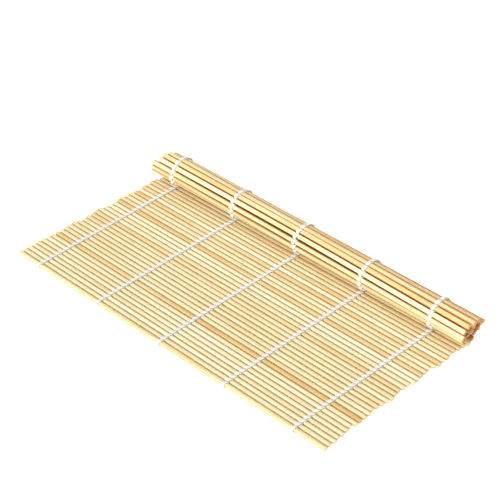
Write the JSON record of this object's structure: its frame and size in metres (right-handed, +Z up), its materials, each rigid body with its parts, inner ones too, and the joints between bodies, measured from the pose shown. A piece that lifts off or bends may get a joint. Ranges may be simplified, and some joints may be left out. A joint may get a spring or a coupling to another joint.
{
  "type": "sushi rolling mat",
  "caption": "Bamboo mat of thin parallel slats twined together with white cotton strings, flat at the front and rolled into a loose scroll at the back.",
  "frame": {"origin": "middle of the mat's bounding box, on the surface that the mat lies on", "axes": "+X along the slats, +Y along the strings from the flat front edge towards the roll, +Z up"},
  "size_m": [0.2458, 0.1288, 0.0223],
  "materials": {
    "bamboo": "pale dry bamboo with fine fibres, bare and slightly satin",
    "cotton": "matt white twisted cotton"
  },
  "bodies": {
    "root": {"slat_01": "bamboo", "slat_02": "bamboo", "slat_03": "bamboo", "slat_04": "bamboo", "slat_05": "bamboo", "slat_06": "bamboo", "slat_07": "bamboo", "slat_08": "bamboo", "slat_09": "bamboo", "slat_10": "bamboo", "slat_11": "bamboo", "slat_12": "bamboo", "slat_13": "bamboo", "slat_14": "bamboo", "slat_15": "bamboo", "slat_16": "bamboo", "slat_17": "bamboo", "slat_18": "bamboo", "slat_19": "bamboo", "slat_20": "bamboo", "slat_21": "bamboo", "slat_22": "bamboo", "slat_23": "bamboo", "slat_24": "bamboo", "slat_25": "bamboo", "slat_26": "bamboo", "slat_27": "bamboo", "slat_28": "bamboo", "slat_29": "bamboo", "slat_30": "bamboo", "slat_31": "bamboo", "slat_32": "bamboo", "slat_33": "bamboo", "slat_34": "bamboo", "slat_35": "bamboo", "slat_36": "bamboo", "slat_37": "bamboo", "slat_38": "bamboo", "slat_39": "bamboo", "slat_40": "bamboo", "slat_41": "bamboo", "slat_42": "bamboo", "slat_43": "bamboo", "slat_44": "bamboo", "slat_45": "bamboo", "slat_46": "bamboo", "slat_47": "bamboo", "slat_48": "bamboo", "slat_49": "bamboo", "slat_50": "bamboo", "slat_51": "bamboo", "slat_52": "bamboo", "slat_53": "bamboo", "slat_54": "bamboo", "slat_55": "bamboo", "string_1": "cotton", "string_2": "cotton", "string_3": "cotton", "string_4": "cotton", "string_5": "cotton"}
  },
  "joints": []
}
